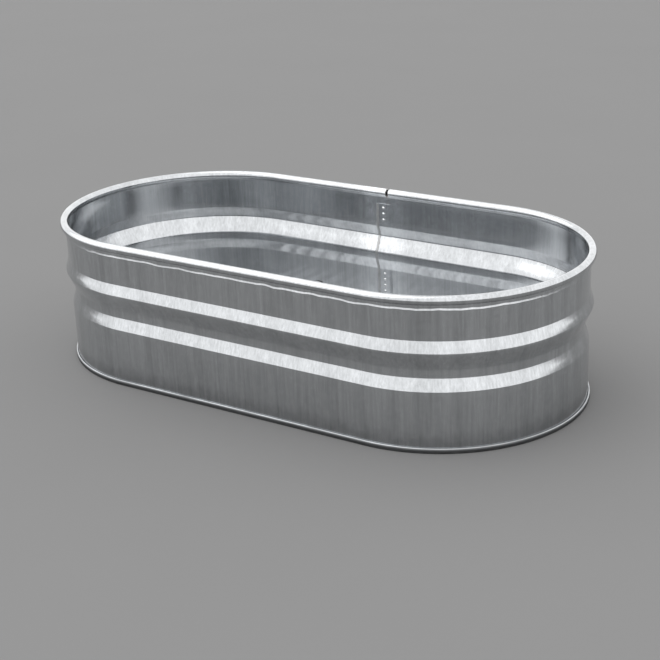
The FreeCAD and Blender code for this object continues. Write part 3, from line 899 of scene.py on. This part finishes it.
def build_rubber():
    material, tree, shader, place = new_material("black_rubber")
    grain = fuzz(tree, place, 700.0, 3.0)
    tone = calc(tree, "MULTIPLY_ADD", grain, 0.8, 0.6)
    set_inputs(tree, shader, {
        "Base Color": tinted(tree, (0.028, 0.028, 0.029), tone),
        "Roughness": calc(tree, "MULTIPLY_ADD", grain, 0.25, 0.50),
        "Normal": relief(tree, grain, 0.3, 0.0002),
    })
    return material


def hex_radius(flats, angle):
    """Distance from the middle of a hexagon to its side, in one direction."""
    sixth = math.pi / 3
    return flats / 2 / math.cos((angle + sixth / 2) % sixth - sixth / 2)


def turned_back(face, reach, untouched):
    """A face turned back at 30 degrees outside a circle, at a given reach from the middle."""
    return face - max(0.0, reach - untouched) * math.tan(math.radians(30))


def thread_height(y, angle):
    """Height of a V thread where a helix passes, from 0 at its root to 1 at its crest."""
    turn = ((y - THREAD_PITCH * angle / (2 * math.pi)) / THREAD_PITCH) % 1
    return 1 - abs(2 * turn - 1)


casting = build_casting()
rubber = build_rubber()

spud = [
    (BORE_RADIUS, 0.2895),
    (0.0230, 0.2895), (0.0237, 0.2898), (0.0240, 0.2905),
    (0.0240, 0.2925), (0.0237, 0.2932), (0.0230, 0.2935),
    (0.0166, 0.2935), (0.0166, 0.3065),
    (0.0162, 0.3072), (0.0158, 0.3073), (0.0136, 0.3073),
]
spud += [(BORE_RADIUS, 0.3070 - THREAD_STEP * step) for step in range(57)]
spud += [(BORE_RADIUS, 0.2895)]


def bore_thread(radius, y, angle):
    """The spud's bore, with the thread's groove cut into it."""
    if radius > BORE_RADIUS or not 0.2905 < y < 0.3070:
        return radius, y
    return radius + 0.0009 * thread_height(y, angle), y


turned_piece("spud", spud, "tank", "drain_spud", casting, radius_at=bore_thread)
inner_gasket = washer_profile(DRAIN_HOLE_RADIUS, 0.0230, 0.2935, 0.2965, 0.0008)
outer_gasket = washer_profile(DRAIN_HOLE_RADIUS, 0.0240, 0.2975, 0.2995, 0.0007)
washer = washer_profile(DRAIN_HOLE_RADIUS, 0.0250, 0.2995, 0.3005, 0.0002)
turned_piece("gasket_inner", inner_gasket, "tank", "drain_gasket_inner", rubber)
turned_piece("gasket_outer", outer_gasket, "tank", "drain_gasket_outer", rubber)
turned_piece("drain_washer_turned", washer, "tank", "drain_washer", plated_steel)


def nut_flats(radius, y, angle):
    """Cuts six flats on a nut whose corners are turned off at 30 degrees at its outer face."""
    if radius < 0.0215:
        return radius, y
    corner = hex_radius(NUT_FLATS, angle)
    if y > 0.3045:
        return corner, turned_back(NUT_FACE, corner, 0.0222)
    return corner, y


nut = [
    (0.01665, 0.3005), (0.0226, 0.3005), (0.0230, 0.3010), (0.0230, 0.3050),
    (0.0214, NUT_FACE), (0.0174, NUT_FACE), (0.01665, 0.3058), (0.01665, 0.3005),
]
turned_piece("locknut", nut, "tank", "drain_locknut", casting, sides=96,
             radius_at=nut_flats, crease=22)

# The screw plug and its washer: turned brass with a hexagon head, a pipe thread on its
# shank, and a flat rubber washer under the head that stays with it as it is drawn.
plug_washer = washer_profile(0.0130, 0.0165, 0.3073, 0.3089, 0.0005)
turned_piece("plug_ring", plug_washer, "plug_seal", "plug_washer", rubber)


def build_brass():
    material, tree, shader, place = new_material("dull_brass")
    x, _, z = parts_of(tree, vector_calc(tree, "ADD", {0: place, 1: (-DRAIN_X, 0, -DRAIN_Z)}))
    off = calc(tree, "SQRT", calc(tree, "ADD", product(tree, x, x), product(tree, z, z)))
    rings = fuzz_along(tree, calc(tree, "MULTIPLY", off, 3000.0), 1.0, 2.0)
    dark = ramped(tree, fuzz(tree, place, 160.0, 5.0), 0.45, 0.75)
    rough = calc(tree, "MULTIPLY_ADD", rings, 0.12, 0.28)
    set_inputs(tree, shader, {
        "Base Color": blended(tree, dark, (0.60, 0.45, 0.20, 1), (0.26, 0.17, 0.08, 1)),
        "Roughness": calc(tree, "MULTIPLY_ADD", dark, 0.25, rough),
        "Metallic": 1.0,
        "Normal": relief(tree, rings, 0.25, 0.0001),
    })
    return material


def plug_flats_and_thread(radius, y, angle):
    """Six flats on the head, a helical thread on the shank."""
    if y > 0.30885 and radius > 0.0149:
        corner = hex_radius(HEAD_FLATS, angle)
        if y > 0.3126:
            return corner, turned_back(HEAD_FACE, corner, 0.0153)
        return corner, y
    if y < 0.3075 and radius == SHANK_CREST:
        fade = min(1, (0.3073 - y) / THREAD_PITCH, (y - SHANK_TIP) / 0.0005)
        return radius - 0.0010 * (1 - thread_height(y, angle) * max(0, fade)), y
    return radius, y


plug = [(0.0, 0.2949), (0.0114, 0.2949)]
plug += [(SHANK_CREST, SHANK_TIP + THREAD_STEP * step) for step in range(42)]
plug += [
    (0.0119, 0.3076), (0.0119, 0.30888), (0.0158, 0.30888), (0.0160, 0.3092),
    (0.0160, 0.3130), (0.0148, HEAD_FACE), (0.0100, HEAD_FACE), (0.0, HEAD_FACE),
]
turned_piece("plug_screw", plug, "plug", "drain_plug", build_brass(), sides=96, crease=25,
             radius_at=plug_flats_and_thread)


# ---- ground, light -----------------------------------------------------------------------
# Plain pale floor under a bright even sky, with a broad soft sun from the upper left.

ground_mesh = bpy.data.meshes.new("ground")
ground_mesh.from_pydata([(-9, -9, 0), (9, -9, 0), (9, 9, 0), (-9, 9, 0)], [], [(0, 1, 2, 3)])
ground = put_in_scene("ground", ground_mesh)
ground_paint, tree, shader, place = new_material("plain_ground")
soft = off_middle(tree, fuzz(tree, place, 2.0, 2.0))
set_inputs(tree, shader, {
    "Base Color": tinted(tree, (0.19, 0.19, 0.19), calc(tree, "MULTIPLY_ADD", soft, 0.04, 1.0)),
    "Roughness": 0.9,
    "Specular IOR Level": 0.1,
})
ground_mesh.materials.append(ground_paint)

world = bpy.data.worlds.new("sky")
world.use_nodes = True
sky = world.node_tree.nodes["Background"]
set_inputs(world.node_tree, sky, {"Color": (1, 1, 1, 1), "Strength": 1.35})
bpy.context.scene.world = world

sun_data = bpy.data.lights.new("sun", "SUN")
sun_data.energy = 1.1
sun_data.angle = math.radians(75)
sun = bpy.data.objects.new("sun", sun_data)
bpy.context.scene.collection.objects.link(sun)
sun.matrix_world = Vector((-0.75, -0.25, 1.0)).to_track_quat("Z", "Y").to_matrix().to_4x4()

bpy.context.scene.view_settings.view_transform = "Standard"
